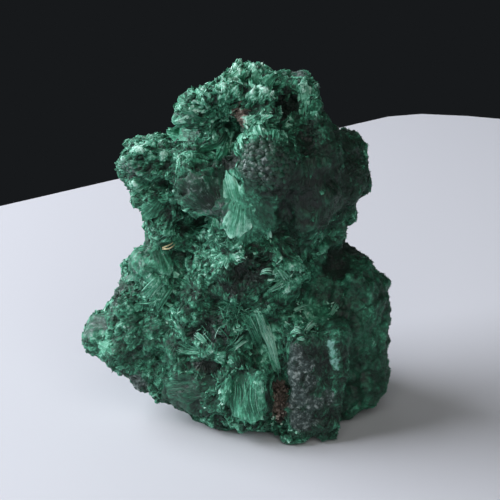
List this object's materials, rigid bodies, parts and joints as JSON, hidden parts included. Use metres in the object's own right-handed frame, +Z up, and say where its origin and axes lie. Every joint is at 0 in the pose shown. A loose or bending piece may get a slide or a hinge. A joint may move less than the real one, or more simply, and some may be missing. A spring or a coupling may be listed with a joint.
{
  "type": "stalactitic malachite specimen",
  "caption": "Free-standing hand specimen of stalactitic malachite: a green lump with a broad foot, side knobs, a crown and radiating fibre fans, on a flat broken base",
  "frame": {"origin": "middle of the bounding box, on the plane that the stone stands on", "axes": "+Z is up, as the stone stands; the broken front with the dark slab faces -Y; +X is to the right of a viewer in front"},
  "size_m": [0.0668, 0.0438, 0.0765],
  "materials": {
    "malachite": "silky fibrous green mineral, from deep green in the recesses to pale mint on broken fibre ends, with grey-black and brown crusts"
  },
  "bodies": {
    "root": {"malachite": "malachite"}
  },
  "joints": []
}
